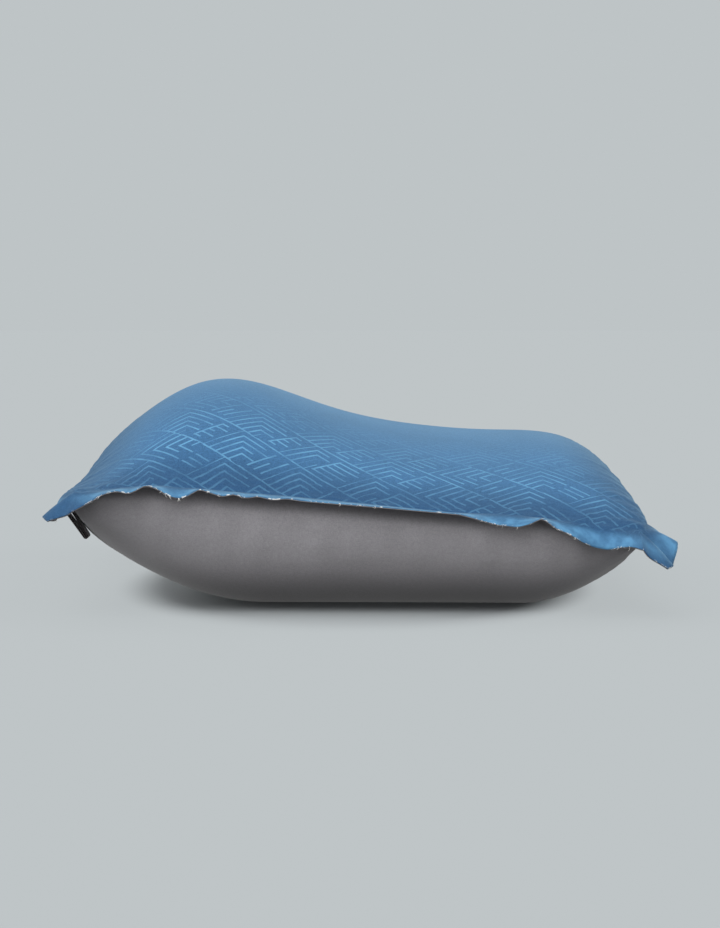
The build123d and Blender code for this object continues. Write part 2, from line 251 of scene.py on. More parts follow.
def spaced(cells):
    """Values from -1 to 1, closer together towards both ends, where the covers turn in to the weld."""
    t = np.linspace(-1, 1, cells + 1)
    return (1 - EDGE_CROWDING) * t + EDGE_CROWDING * np.sin(t * math.pi / 2)


def ease(value, start, stop):
    share = np.clip((value - start) / (stop - start), 0, 1)
    return share * share * (3 - 2 * share)


def seam_plane(x):
    return SEAM_HEIGHT - SEAM_SLOPE * x


def plan(u, v):
    """Places on the ground plane of the shares u and v of the way out to the welds."""
    pull = np.where(v < 0, NEAR_END_PULL * (1 - u**2), 0)
    y = v * (WELD_HALF_LENGTH - pull - END_CORNER_PULL * np.abs(u) ** CORNER_POWER)
    half = WELD_HALF_DEPTH - SIDE_PULL * (1 - v**2) - CORNER_PULL * np.abs(v) ** CORNER_POWER
    return half * u, y


def weld_height(u, v, x, y):
    """The seam's height: a plane that sags at the lobe's corners and wanders a little along both ends."""
    sag = CORNER_SAG * ease(-x, *SOFT_SAG_ACROSS) * ease(np.abs(y), *SAG_ALONG)
    near = smooth_through(NEAR_WELD, x, 5 * MM) * np.exp(-(1 + v) * WELD_HALF_LENGTH / END_FADE)
    far = -3 * MM * np.clip(u, 0, 1) ** 6 * np.exp(-(1 - v) * WELD_HALF_LENGTH / END_FADE)
    return seam_plane(x) - sag + near + far


def upper_surface(u, v):
    """The upper cover over the air chamber."""
    x, y = plan(u, v)
    across = np.where(u < 0, fall(-u, *LOBE_SIDE), fall(u, *LOW_SIDE))
    width = np.where(x < LOBE_X, LOBE_WIDTH_OUT, LOBE_WIDTH_IN)
    lobe = LOBE * np.exp(-(((x - LOBE_X) / width) ** 2))
    ridge = RIDGE * np.exp(-(((x - RIDGE_X) / RIDGE_WIDTH) ** 2))
    rise = (CROWN + lobe + ridge) * across * fall(np.abs(v), *END)
    return np.stack([x, y, weld_height(u, v, x, y) + LAYER + rise], -1)


def far_belly(v):
    """Share of the full depth at the far end, straight across the facet that carries the valve."""
    y = np.linspace(0, 204, 409)
    shares = np.interp(y, *zip(*FAR_BELLY))
    rounded = np.convolve(np.pad(shares, 4, mode="edge"), np.ones(9) / 9, "valid")
    rounded[-1] = 0
    return np.interp(np.abs(v) * 204, y, rounded)


def lower_surface(u, v):
    """The lower cover: a flat patch on the ground, with eased quarter arcs up to the welds."""
    x, y = plan(u, v)
    flat = np.where(u < 0, FLAT_LEFT, FLAT_RIGHT)
    weld = plan(np.where(u < 0, -1.0, 1.0), v)[0]
    out = np.clip((x - flat) / (weld - flat), 0, 1)
    down = (1 - out ** (2 / SIDE_EASE)) ** (SIDE_EASE / 2)
    belly = np.where(v < 0, fall(-v, *NEAR_BELLY), far_belly(v))
    z = (weld_height(u, v, x, y) - LAYER) * (1 - down * belly)
    return np.stack([x, y, z], -1)


def grid_normals(grid):
    normal = np.cross(np.gradient(grid, axis=0), np.gradient(grid, axis=1))
    return normal / (np.linalg.norm(normal, axis=-1, keepdims=True) + TINY)


def from_weld(u, v):
    """Rough distance in from the nearest weld."""
    return np.minimum((1 - np.abs(u)) * WELD_HALF_DEPTH, (1 - np.abs(v)) * WELD_HALF_LENGTH)


def clear_of_valve(grid):
    """0 round the valve, 1 away from it."""
    return ease(np.linalg.norm(grid - np.array(VALVE), axis=-1), *VALVE_CLEAR)


def above_ground(grid):
    """The grid with nothing of it below the ground."""
    grid[..., 2] = np.maximum(grid[..., 2], GROUND_GAP)
    return grid


def puckered(grid, u, v, puckers, seed):
    """The cover with soft radial folds along its welds, where the round form takes up the sheet's edge."""
    height, reach, lengths = puckers
    along_end = waves(u * WELD_HALF_DEPTH, seed, lengths)
    along_side = waves(v * WELD_HALF_LENGTH, seed + 1, lengths)
    from_end = (1 - np.abs(v)) * WELD_HALF_LENGTH
    from_side = (1 - np.abs(u)) * WELD_HALF_DEPTH
    end_shape = from_end / reach * np.exp(1 - from_end / reach)
    side_shape = from_side / reach * np.exp(1 - from_side / reach)
    end_fold = along_end * end_shape * ease(from_side, 0, reach)
    side_fold = along_side * side_shape * ease(from_end, 0, reach)
    fold = height * (end_fold + side_fold) * clear_of_valve(grid)
    return grid + grid_normals(grid) * fold[..., None]


# ---- Settling the covers as cloth ----------------------------------------------------------------


def deselect_all():
    bpy.ops.object.select_all(action="DESELECT")


def set_mode(mode):
    bpy.ops.object.mode_set(mode=mode)


def mesh_object(name, vertices, faces):
    mesh = bpy.data.meshes.new(name)
    mesh.from_pydata([tuple(p) for p in vertices], [], faces)
    mesh.update()
    piece = bpy.data.objects.new(name, mesh)
    bpy.context.scene.collection.objects.link(piece)
    return piece


def positions(piece):
    """A piece's vertices, with its modifiers, as an array."""
    mesh = piece.evaluated_get(bpy.context.evaluated_depsgraph_get()).to_mesh()
    flat = np.empty(len(mesh.vertices) * 3)
    mesh.vertices.foreach_get("co", flat)
    return flat.reshape(-1, 3)


def weight_group(piece, name, weights):
    group = piece.vertex_groups.new(name=name)
    for level in np.unique(np.round(weights, 2)):
        if level > 0:
            members = np.nonzero(np.abs(weights - level) < 0.006)[0]
            group.add([int(m) for m in members], float(level), "REPLACE")


def blurred(field, reach):
    """The field averaged over reach cells each way along both of its first two axes."""
    for axis in (0, 1):
        pads = [(0, 0)] * field.ndim
        pads[axis] = (reach + 1, reach)
        total = np.cumsum(np.pad(field, pads, mode="edge"), axis=axis)
        high = np.take(total, range(2 * reach + 1, total.shape[axis]), axis=axis)
        low = np.take(total, range(0, total.shape[axis] - 2 * reach - 1), axis=axis)
        field = (high - low) / (2 * reach + 1)
    return field


def chamber_mesh(rows, columns, inner):
    """Numbers of the upper cover's points, and faces that close both covers along their shared edge."""
    count = rows * columns
    index = np.arange(count).reshape(rows, columns)
    below = index.copy()
    below[inner] = count + np.arange(inner.sum())
    faces = []
    for i in range(rows - 1):
        for j in range(columns - 1):
            faces.append((index[i, j], index[i + 1, j], index[i + 1, j + 1], index[i, j + 1]))
            faces.append((below[i, j], below[i, j + 1], below[i + 1, j + 1], below[i + 1, j]))
    return index, [tuple(map(int, face)) for face in faces]


def without_broad(shift, inner, fade):
    """The fine part of the cloth's movement, capped, and faded out away from the welds."""
    shift = shift - KEEP_SHAPE * blurred(shift, BROAD_CELLS)
    shift *= fade[..., None]
    shift[~inner] = 0
    size = np.linalg.norm(shift, axis=-1, keepdims=True) + TINY
    return shift / size * CLOTH_CAP * np.tanh(size / CLOTH_CAP)


def settled(upper, lower, u, v):
    """Both covers after a short cloth simulation, in which spare fabric beside the weld puckers."""
    rows, columns = upper.shape[:2]
    count = rows * columns
    inner = np.zeros((rows, columns), bool)
    inner[1:-1, 1:-1] = True
    index, faces = chamber_mesh(rows, columns, inner)
    points = np.concatenate([upper.reshape(-1, 3), lower[inner]])
    jitter = np.random.default_rng(11).normal(0, UNEVEN, points.shape)
    jitter[index[~inner]] = 0
    chamber = mesh_object("air_chamber_cloth", points + jitter, faces)

    depth = np.minimum(
        np.minimum(np.arange(rows)[:, None], np.arange(rows)[::-1][:, None]),
        np.minimum(np.arange(columns)[None, :], np.arange(columns)[::-1][None, :]),
    )
    spare = np.clip(1 - depth / SPARE_CELLS, 0, 1)
    pins = np.zeros(len(points))
    pins[index[~inner]] = 1
    pins[points[:, 2] < 1 * MM] = 1
    weight_group(chamber, "pins", pins)
    weight_group(chamber, "spare", np.concatenate([spare.ravel(), spare[inner]]))

    cloth = chamber.modifiers.new("cloth", "CLOTH")
    cloth.point_cache.frame_start = 1
    cloth.point_cache.frame_end = CLOTH_FRAMES
    for key, value in CLOTH_SETTINGS.items():
        setattr(cloth.settings, key, value)
    cloth.settings.effector_weights.gravity = 0
    for step in range(1, CLOTH_FRAMES + 1):
        bpy.context.scene.frame_set(step)
    moved = positions(chamber) - points
    bpy.data.objects.remove(chamber)
    bpy.context.scene.frame_set(1)

    fade = 1 - ease(from_weld(u, v), 0, CLOTH_REACH)
    upper_shift = moved[:count].reshape(rows, columns, 3)
    lower_shift = np.zeros((rows, columns, 3))
    lower_shift[inner] = moved[count:]
    upper = upper + without_broad(upper_shift, inner, fade)
    lower = lower + without_broad(lower_shift, inner, fade) * clear_of_valve(lower)[..., None]
    return upper, above_ground(lower)


# ---- The welded flange ---------------------------------------------------------------------------


def hang_angles(u, v):
    """How far the flange hangs below the seam, in radians, along the near, far, lobe and low edges."""
    near_end = np.full_like(u, -1.0)
    x, y = plan(u, near_end)
    width = FLANGE + END_CORNER_PULL * np.abs(u) ** CORNER_POWER
    drop = weld_height(u, near_end, x, y) - seam_plane(x) - smooth_through(NEAR_EDGE, x, 1.2 * MM)
    near = np.arcsin(np.clip(drop / width, -0.9, 0.95))
    far = np.radians(FAR_HANG + FAR_WANDER * waves(u * WELD_HALF_DEPTH, 5, (0.047, 0.029, 0.018)))
    along = v * WELD_HALF_LENGTH
    turned_up = {
        -1: FAR_LOOP_FLARE * np.exp(-(((along - LOOP_HINGE.y) / (16 * MM)) ** 4)),
        1: LOW_SIDE_FLARE * np.exp(-(((along - LOW_SIDE_FLARE_Y) / (9 * MM)) ** 2)),
    }
    sides = {}
    for side, seed in ((-1, 21), (1, 34)):
        wander = SIDE_WANDER * waves(along, seed, (0.083, 0.041, 0.023))
        sides[side] = np.radians(SIDE_HANG[side] - turned_up[side] + wander)
        far += np.clip(side * u, 0, 1) ** 50 * (math.radians(EARS[side, 1]) - far)
        for end in (-1, 1):
            ear = math.radians(EARS[side, end])
            sides[side] = sides[side] + np.clip(end * v, 0, 1) ** 40 * (ear - sides[side])
    return near, far, sides[-1], sides[1]


def with_flange(surface, u, v, lift):
    """The grid with the flange all round, raised off its middle by lift, and the shares of flange and ear."""
    k = FLANGE_CELLS
    rows, columns = surface.shape[:2]
    near, far, lobe_side, low_side = hang_angles(u, v)
    i, j = np.meshgrid(np.arange(-k, rows + k), np.arange(-k, columns + k), indexing="ij")
    at_i, at_j = np.clip(i, 0, rows - 1), np.clip(j, 0, columns - 1)
    side, end = np.sign(i - at_i), np.sign(j - at_j)
    a, b = np.abs(i - at_i) / k, np.abs(j - at_j) / k
    grid = surface[at_i, at_j].copy()
    outside = (a > 0) | (b > 0)

    pull = np.where(side < 0, SIDE_CORNER_PULL[-1], SIDE_CORNER_PULL[1])
    reach_x = a * (FLANGE + pull * np.abs(v[at_j]) ** CORNER_POWER)
    reach_y = b * (FLANGE + END_CORNER_PULL * np.abs(u[at_i]) ** CORNER_POWER)
    rounding = 1 - EAR_ROUND * (a * b) ** 1.5
    reach_x, reach_y = reach_x * rounding, reach_y * rounding
    reach = np.hypot(reach_x, reach_y) + TINY
    turn = reach_y / (reach_x + reach_y + TINY)
    along_side = np.where(side < 0, lobe_side[at_j], low_side[at_j])
    along_end = np.where(end < 0, near[at_i], far[at_i])
    angle = (1 - turn) * along_side + turn * along_end
    ears = np.radians(np.vectorize(lambda x, y: EARS.get((x, y), 0))(side, end))
    angle += np.where(side * end != 0, 4 * turn * (1 - turn), 0) * (ears - angle)
    angle = np.where(np.abs(angle) < 1e-3, 1e-3, angle)
    share = (a**4 + b**4) ** 0.25
    curl = FLANGE_CURL * (1 - EAR_CURL_LOSS * np.abs(u[at_i] * v[at_j]) ** 24)
    start, stop = (1 - curl / 2) * angle, (1 - curl / 2 + curl * share) * angle
    step = curl * angle * np.maximum(share, 1e-6)
    level = reach * (np.sin(stop) - np.sin(start)) / step
    sunk = reach * (np.cos(start) - np.cos(stop)) / step
    out_x, out_y = side * reach_x / reach * level, end * reach_y / reach * level
    offset = np.stack([out_x, out_y, -sunk - SEAM_SLOPE * out_x], -1)
    middle = surface[at_i, at_j] - np.array([0, 0, lift])
    grid[outside] = (middle + offset)[outside]

    grid[outside] += (grid_normals(grid) * lift)[outside]
    ear = 1 - (1 - b * np.abs(u[at_i]) ** 14) * (1 - a * np.abs(v[at_j]) ** 24)
    # Painted shade: the ears on the low side (+X) get half weight, so the shade painted into them is lighter
    # there than on the lobe side, as the light falls.
    ear *= np.where(grid[..., 0] < 0, 1.0, 0.5)
    return grid, np.where(outside, np.maximum(a, b), 0.0), ear


# ---- Covers as pieces ----------------------------------------------------------------------------


def flat_places(grid):
    """Where each point of the grid lay on the flat fabric: lengths across and along from the middle."""
    places = []
    for axis in (0, 1):
        steps = np.linalg.norm(np.diff(grid, axis=axis), axis=-1).mean(axis=1 - axis)
        lengths = np.insert(np.cumsum(steps), 0, 0)
        places.append(lengths - lengths[len(lengths) // 2])
    return np.stack(np.meshgrid(*places, indexing="ij"), -1)


def cover(name, grid, values, facing_up, material):
    """A cover with its flange as one thin shell, with its flat places as UVs."""
    rows, columns = grid.shape[:2]
    index = np.arange(rows * columns).reshape(rows, columns)
    corners = [index[:-1, :-1], index[1:, :-1], index[1:, 1:], index[:-1, 1:]]
    if not facing_up:
        corners.reverse()
    faces = np.stack([c.ravel() for c in corners], -1)
    piece = mesh_object(name, grid.reshape(-1, 3), faces.tolist())
    mesh = piece.data
    flat = flat_places(grid).reshape(-1, 2)
    uv = mesh.uv_layers.new(name="flat")
    loops = np.empty(len(mesh.loops), int)
    mesh.loops.foreach_get("vertex_index", loops)
    uv.data.foreach_set("uv", flat[loops].astype(np.float32).ravel())
    for label, value in values.items():
        attribute = mesh.attributes.new(label, "FLOAT", "POINT")
        attribute.data.foreach_set("value", value.ravel().astype(np.float32))
    mesh.materials.append(material)
    return piece


def finish_piece(piece, body):
    """Smooth shading, and the piece's body."""
    piece.data.shade_smooth()
    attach(piece, body)


def apply_modifiers(piece):
    deselect_all()
    bpy.context.view_layer.objects.active = piece
    piece.select_set(True)
    for modifier in list(piece.modifiers):
        bpy.ops.object.modifier_apply(modifier=modifier.name)
    piece.select_set(False)


def thicken(piece, thickness):
    """Gives a sheet its inner skin."""
    solidify = piece.modifiers.new("thickness", "SOLIDIFY")
    solidify.thickness = thickness
    solidify.offset = -1
    apply_modifiers(piece)


def joined(pieces, name, material):
    """The pieces as one, smooth and of one material."""
    deselect_all()
    for piece in pieces:
        piece.select_set(True)
    whole = pieces[0]
    bpy.context.view_layer.objects.active = whole
    bpy.ops.object.join()
    whole.name = name
    whole.data.materials.clear()
    whole.data.materials.append(material)
    whole.data.shade_smooth()
    return whole


def laid_copy(piece, name, matrix):
    """A copy of the piece with its mesh at another place."""
    mesh = piece.data.copy()
    mesh.transform(matrix)
    copy = bpy.data.objects.new(name, mesh)
    bpy.context.scene.collection.objects.link(copy)
    return copy


# ---- Node helpers --------------------------------------------------------------------------------


class Nodes:
    """Adds nodes to one tree and links them."""

    def __init__(self, tree):
        self.tree = tree

    def add(self, kind, inputs=None, **settings):
        node = self.tree.nodes.new(kind)
        for key, value in settings.items():
            setattr(node, key, value)
        for key, value in (inputs or {}).items():
            self.put(node.inputs[key], value)
        return node

    def put(self, socket, value):
        if isinstance(value, bpy.types.NodeSocket):
            self.tree.links.new(value, socket)
        else:
            socket.default_value = value

    def math(self, operation, a, b=0.0, c=0.0, clamp=False):
        node = self.add("ShaderNodeMath", {0: a, 1: b, 2: c}, operation=operation, use_clamp=clamp)
        return node.outputs[0]

    def ramp(self, value, low, high, out_low=0.0, out_high=1.0, smooth=True):
        """The value's place between low and high, as a number between out_low and out_high."""
        kind = "SMOOTHSTEP" if smooth else "LINEAR"
        inputs = {"Value": value, "From Min": low, "From Max": high, "To Min": out_low, "To Max": out_high}
        return self.add("ShaderNodeMapRange", inputs, interpolation_type=kind).outputs[0]

    def mix(self, share, a, b, blend="MIX"):
        node = self.add("ShaderNodeMix", data_type="RGBA", blend_type=blend)
        self.put(node.inputs["Factor"], share)
        self.put(node.inputs[6], a)
        self.put(node.inputs[7], b)
        return node.outputs[2]

    def noise(self, place, scale, detail=2.0, roughness=0.5):
        inputs = {"Vector": place, "Scale": scale, "Detail": detail, "Roughness": roughness}
        return self.add("ShaderNodeTexNoise", inputs).outputs["Fac"]

    def parts(self, place):
        return self.add("ShaderNodeSeparateXYZ", {"Vector": place}).outputs

    def attribute(self, name):
        return self.add("ShaderNodeAttribute", attribute_name=name).outputs["Fac"]

    def flat_place(self):
        """The place on the flat fabric, which covers and tapes carry as UVs."""
        return self.add("ShaderNodeUVMap", uv_map="flat").outputs[0]

    def object_place(self):
        return self.add("ShaderNodeTexCoord").outputs["Object"]

    def bump(self, shader, height, strength, distance):
        bump = self.add("ShaderNodeBump", {"Strength": strength, "Distance": distance, "Height": height})
        self.put(shader.inputs["Normal"], bump.outputs[0])

    def yarn_roughness(self, shader, fleck, dark, pale):
        """The shader's roughness, from the dark flecks' to the pale ones'."""
        self.put(shader.inputs["Roughness"], self.ramp(fleck, -1.0, 1.0, dark, pale, smooth=False))


def new_group(name, inputs, outputs):
    """A shader node group with those sockets: name, kind and, for an input, its value."""
    tree = bpy.data.node_groups.new(name, "ShaderNodeTree")
    for label, kind, value in inputs:
        socket = tree.interface.new_socket(label, in_out="INPUT", socket_type=f"NodeSocket{kind}")
        if value is not None:
            socket.default_value = value
    for label, kind in outputs:
        tree.interface.new_socket(label, in_out="OUTPUT", socket_type=f"NodeSocket{kind}")
    nodes = Nodes(tree)
    return tree, nodes, nodes.add("NodeGroupInput").outputs, nodes.add("NodeGroupOutput").inputs


def use_group(nodes, group, inputs):
    return nodes.add("ShaderNodeGroup", inputs, node_tree=group).outputs


def fret_group():
    """A printed fret: slanting strips of cells with nested angles and a comb, rails or long lines."""
    inputs = [("Flat", "Vector", None), ("Spacing", "Float", PRINT_SPACING), ("Line", "Float", PRINT_LINE)]
    tree, nodes, given, result = new_group("printed_fret", inputs, [("Mask", "Float")])
    m = nodes.math
    place = nodes.parts(given["Flat"])
    scale = m("DIVIDE", math.sqrt(0.5), given["Spacing"])
    along = m("MULTIPLY", m("SUBTRACT", place[0], place[1]), scale)
    over = m("MULTIPLY", m("ADD", place[0], place[1]), scale)
    strip = m("FLOOR", m("DIVIDE", over, STRIP_LINES))
    q = m("SUBTRACT", over, m("MULTIPLY", strip, STRIP_LINES))
    shifted = m("ADD", along, m("MULTIPLY", strip, STRIP_SHIFT))
    cell = m("FLOOR", m("DIVIDE", shifted, CELL_LINES))
    p = m("SUBTRACT", shifted, m("MULTIPLY", cell, CELL_LINES))
    address = nodes.add("ShaderNodeCombineXYZ", {0: strip, 1: cell}).outputs[0]
    chance = nodes.add("ShaderNodeTexWhiteNoise", {"Vector": address}, noise_dimensions="2D")
    chances = nodes.add("ShaderNodeSeparateColor", {0: chance.outputs["Color"]}).outputs
    half = m("MULTIPLY", given["Line"], 0.5)

    def stroke(distance):
        return nodes.ramp(distance, half, m("ADD", half, 0.05), 1.0, 0.0)

    def on_lines(value):
        return stroke(m("ABSOLUTE", m("SUBTRACT", value, m("ROUND", value))))

    def between(value, low, high):
        return m("MULTIPLY", m("GREATER_THAN", value, low), m("LESS_THAN", value, high))

    def alternate(value, base, step):
        return m("MULTIPLY_ADD", m("ABSOLUTE", m("MODULO", m("ROUND", value), 2.0)), step, base)

    def either(choice, one, other):
        return m("ADD", m("MULTIPLY", choice, one), m("MULTIPLY", m("SUBTRACT", 1.0, choice), other))

    # Nested angles at a cell's start; some of them point back and leave the strip's other side.
    back = m("GREATER_THAN", chances[0], 0.62)
    low_side = either(back, q, m("SUBTRACT", STRIP_LINES, q))
    nest = m("MINIMUM", p, low_side)
    reach = m("MULTIPLY_ADD", chances[1], 2.6, 3.1)
    angles = m("MULTIPLY", on_lines(nest), m("LESS_THAN", p, m("ADD", reach, alternate(nest, 0.9, -1.1))))

    # Then a comb, rails across the strip, or a few long lines along it.
    start = m("ADD", reach, 1.4)
    inside = between(q, 0.8, 5.2)
    comb = m("MULTIPLY", on_lines(q), between(p, start, alternate(q, 8.4, -0.9)))
    spine = stroke(m("ABSOLUTE", m("SUBTRACT", p, start)))
    toothed = m("MULTIPLY", m("MAXIMUM", comb, spine), inside)
    rails = m("MULTIPLY", on_lines(p), between(q, 0.9, alternate(p, 5.2, -1.9)))
    rails = m("MULTIPLY", rails, between(p, m("SUBTRACT", start, 0.6), 8.6))
    long_lines = m("MULTIPLY", on_lines(q), between(p, start, 8.7))
    long_lines = m("MULTIPLY", long_lines, between(q, 1.5, 4.6))
    second = either(m("GREATER_THAN", chances[2], 0.72), long_lines, rails)
    combs = either(m("GREATER_THAN", chances[2], 0.42), second, toothed)
    edge = m("MINIMUM", q, m("SUBTRACT", STRIP_LINES, q))
    gap = m("MULTIPLY", between(p, 4.4, 5.6), m("GREATER_THAN", chances[1], 0.45))
    edges = m("MULTIPLY", stroke(edge), m("SUBTRACT", 1.0, gap))
    nodes.put(result["Mask"], m("MAXIMUM", m("MAXIMUM", angles, combs), edges))
    return tree


def heather_group():
    """Flecks of lighter and darker yarn over a base colour."""
    inputs = [("Place", "Vector", None), ("Colour", "Color", KNIT_BLUE), ("Fleck", "Float", 0.3)]
    outputs = [("Colour", "Color"), ("Fleck", "Float")]
    tree, nodes, given, result = new_group("heathered_yarn", inputs, outputs)
    m = nodes.math
    fine = nodes.noise(given["Place"], 1500, 1.0, 0.6)
    coarse = nodes.noise(given["Place"], 520, 2.0, 0.6)
    broad = nodes.noise(given["Place"], 22, 2.0, 0.5)
    both = m("ADD", m("MULTIPLY", fine, 0.6), m("MULTIPLY", coarse, 0.4))
    fleck = nodes.ramp(both, 0.34, 0.66, -1.0, 1.0, smooth=False)
    drift = nodes.ramp(broad, 0.3, 0.7, -0.25, 0.25, smooth=False)
    amount = m("MULTIPLY", m("ADD", fleck, drift), given["Fleck"])
    gain = m("ADD", amount, 1.0)
    grey = nodes.add("ShaderNodeCombineColor", {0: gain, 1: gain, 2: gain}).outputs[0]
    nodes.put(result["Colour"], nodes.mix(1.0, given["Colour"], grey, "MULTIPLY"))
    nodes.put(result["Fleck"], fleck)
    return tree


def weave_group():
    """Height of fine crossing yarns on the flat fabric, for a bump."""
    inputs = [("Flat", "Vector", None), ("Pitch", "Float", 0.7 * MM), ("Ribbed", "Float", 0.5)]
    tree, nodes, given, result = new_group("fine_weave", inputs, [("Height", "Float")])
    m = nodes.math
    place = nodes.parts(given["Flat"])
    turns = m("DIVIDE", 2 * math.pi, given["Pitch"])
    warp = m("SINE", m("MULTIPLY", place[0], turns))
    weft = m("SINE", m("MULTIPLY", place[1], turns))
    crossed = m("MULTIPLY", warp, weft)
    ribbed = m("MULTIPLY", warp, given["Ribbed"])
    plain = m("MULTIPLY", crossed, m("SUBTRACT", 1.0, given["Ribbed"]))
    nodes.put(result["Height"], m("MULTIPLY_ADD", m("ADD", ribbed, plain), 0.5, 0.5))
    return tree


FRET = fret_group()
HEATHER = heather_group()
WEAVE = weave_group()


def new_material(name, **settings):
    """A material with a Principled shader whose plain values are set on its own sockets."""
    material = bpy.data.materials.new(name)
    material.use_nodes = True
    shader = material.node_tree.nodes["Principled BSDF"]
    for key, value in settings.items():
        shader.inputs[key.replace("_", " ")].default_value = value
    return material, Nodes(material.node_tree), shader


def printed_knit():
    """Blue heathered knit with the fret printed on it, with painted shade beside the weld and in the ears,
    and a flange that is paler, partly in its own colour and partly as a painted highlight, frayed white at
    its cut edge.
    """
    settings = {"Sheen_Weight": 0.35, "Sheen_Roughness": 0.35, "Sheen_Tint": (0.5, 0.8, 1.0, 1)}
    material, nodes, shader = new_material("printed_knit", Specular_IOR_Level=0.15, **settings)
    m = nodes.math
    flat = nodes.flat_place()
    share = nodes.attribute("flange_share")
    ear = nodes.attribute("ear_share")
    inwards = nodes.attribute("inwards")
    yarn = use_group(nodes, HEATHER, {"Place": flat, "Colour": KNIT_BLUE, "Fleck": 0.3})
    lines = use_group(nodes, FRET, {"Flat": flat, "Spacing": PRINT_SPACING, "Line": PRINT_LINE})["Mask"]

    # The print, worn in patches and thin on the flange and where the fabric turns away.
    wear = nodes.ramp(nodes.noise(flat, 70, 3.0), 0.3, 0.62, 0.3, 0.8)
    on_flange = nodes.ramp(share, 0.0, 0.2, 1.0, 0.12)
    slanting = nodes.add("ShaderNodeLayerWeight", {"Blend": 0.5}).outputs["Facing"]
    on_flange = m("MULTIPLY", on_flange, nodes.ramp(slanting, 0.60, 0.86, 1.0, 0.12))
    strength = m("MULTIPLY", m("MULTIPLY", lines, wear), on_flange)
    colour = nodes.mix(strength, yarn["Colour"], PRINT_BLUE)

    # Painted shade, darker beside the weld and in the ears; a paler flange, partly its own colour and partly
    # a painted highlight; and frayed white at its cut.
    painted_shade = nodes.ramp(inwards, 3 * MM, 44 * MM, 0.62, 0.0)
    painted_shade = m("MAXIMUM", painted_shade, nodes.ramp(ear, 0.1, 0.9, 0.0, 0.72))
    colour = nodes.mix(painted_shade, colour, SHADE_BLUE)
    # The flange's paler colour: its own streaks, and a painted highlight where it faces up into the light;
    # less of it in the ears.
    soft = nodes.ramp(nodes.noise(flat, 130, 2.0), 0.3, 0.75, 0.35, 0.9)
    soft = m("MULTIPLY", soft, nodes.ramp(ear, 0.1, 0.6, 1.0, 0.1))
    pale = m("MULTIPLY", nodes.ramp(share, 0.1, 0.6), soft)
    colour = nodes.mix(pale, colour, FLANGE_BLUE_AND_HIGHLIGHT)
    frayed = nodes.ramp(nodes.noise(flat, 150, 4.0, 0.75), 0.54, 0.6)
    cut = m("MULTIPLY", nodes.ramp(share, 0.93, 0.99), frayed)
    cut = m("MULTIPLY", cut, nodes.ramp(ear, 0.3, 0.8, 1.0, 0.15))
    colour = nodes.mix(cut, colour, CUT_FILM)
    nodes.put(shader.inputs["Base Color"], colour)
    nodes.yarn_roughness(shader, yarn["Fleck"], 0.92, 0.72)
    height = use_group(nodes, WEAVE, {"Flat": flat, "Pitch": 0.8 * MM, "Ribbed": 0.6})["Height"]
    height = m("MULTIPLY_ADD", lines, 0.35, height)
    height = m("MULTIPLY_ADD", nodes.noise(flat, 900, 2.0), 1.2, height)
    nodes.bump(shader, height, 0.35, 0.12 * MM)
    return material


def grey_fabric():
    """Plain brushed grey fabric, darker where it is handled, with painted shade near the ground and beside
    the weld.
    """
    settings = {"Sheen_Weight": 0.3, "Sheen_Roughness": 0.45, "Specular_IOR_Level": 0.15}
    material, nodes, shader = new_material("grey_fabric", **settings)
    flat = nodes.flat_place()
    yarn = use_group(nodes, HEATHER, {"Place": flat, "Colour": PLAIN_GREY, "Fleck": 0.12})
    handled = nodes.ramp(nodes.noise(flat, 9, 3.0), 0.35, 0.65, 0.0, 0.14)
    colour = nodes.mix(handled, yarn["Colour"], HANDLED_GREY)
    # Painted shade: darker towards the ground and in a thin band under the flange at the weld.
    off_ground = nodes.parts(nodes.object_place())[2]
    low = nodes.ramp(off_ground, 0.0, 34 * MM, 0.9, 0.0)
    shade_at_weld = nodes.ramp(nodes.attribute("inwards"), 0.1 * MM, 2.4 * MM, 0.6, 0.0)
    colour = nodes.mix(nodes.math("MAXIMUM", low, shade_at_weld), colour, PAINTED_SHADE_GREY)
    nodes.put(shader.inputs["Base Color"], colour)
    nodes.yarn_roughness(shader, yarn["Fleck"], 0.92, 0.78)
    height = use_group(nodes, WEAVE, {"Flat": flat, "Pitch": 0.55 * MM, "Ribbed": 0.2})["Height"]
    height = nodes.math("MULTIPLY_ADD", nodes.noise(flat, 1100, 2.0), 1.0, height)
    nodes.bump(shader, height, 0.3, 0.1 * MM)
    return material


def brown_webbing():
    """Narrow woven tape: ribs across it, a tighter selvedge along both sides."""
    material, nodes, shader = new_material("brown_webbing", Sheen_Weight=0.4, Specular_IOR_Level=0.2)
    flat = nodes.flat_place()
    yarn = use_group(nodes, HEATHER, {"Place": flat, "Colour": TAPE_BROWN, "Fleck": 0.35})
    side = nodes.math("ABSOLUTE", nodes.parts(flat)[1])
    selvedge = nodes.ramp(side, 4.6 * MM, 5.0 * MM)
    nodes.put(shader.inputs["Base Color"], nodes.mix(selvedge, yarn["Colour"], TAPE_SELVEDGE))
    nodes.yarn_roughness(shader, yarn["Fleck"], 0.9, 0.7)
    height = use_group(nodes, WEAVE, {"Flat": flat, "Pitch": 1.0 * MM, "Ribbed": 0.7})["Height"]
    nodes.bump(shader, height, 0.6, 0.15 * MM)
    return material


def thread(name, colour):
    """Twisted yarn, for stitches and for the frayed ends along a cut edge."""
    material, nodes, shader = new_material(name, Sheen_Weight=0.3, Specular_IOR_Level=0.2)
    place = nodes.object_place()
    yarn = use_group(nodes, HEATHER, {"Place": place, "Colour": colour, "Fleck": 0.2})
    nodes.put(shader.inputs["Base Color"], yarn["Colour"])
    nodes.yarn_roughness(shader, yarn["Fleck"], 0.9, 0.7)
    return material


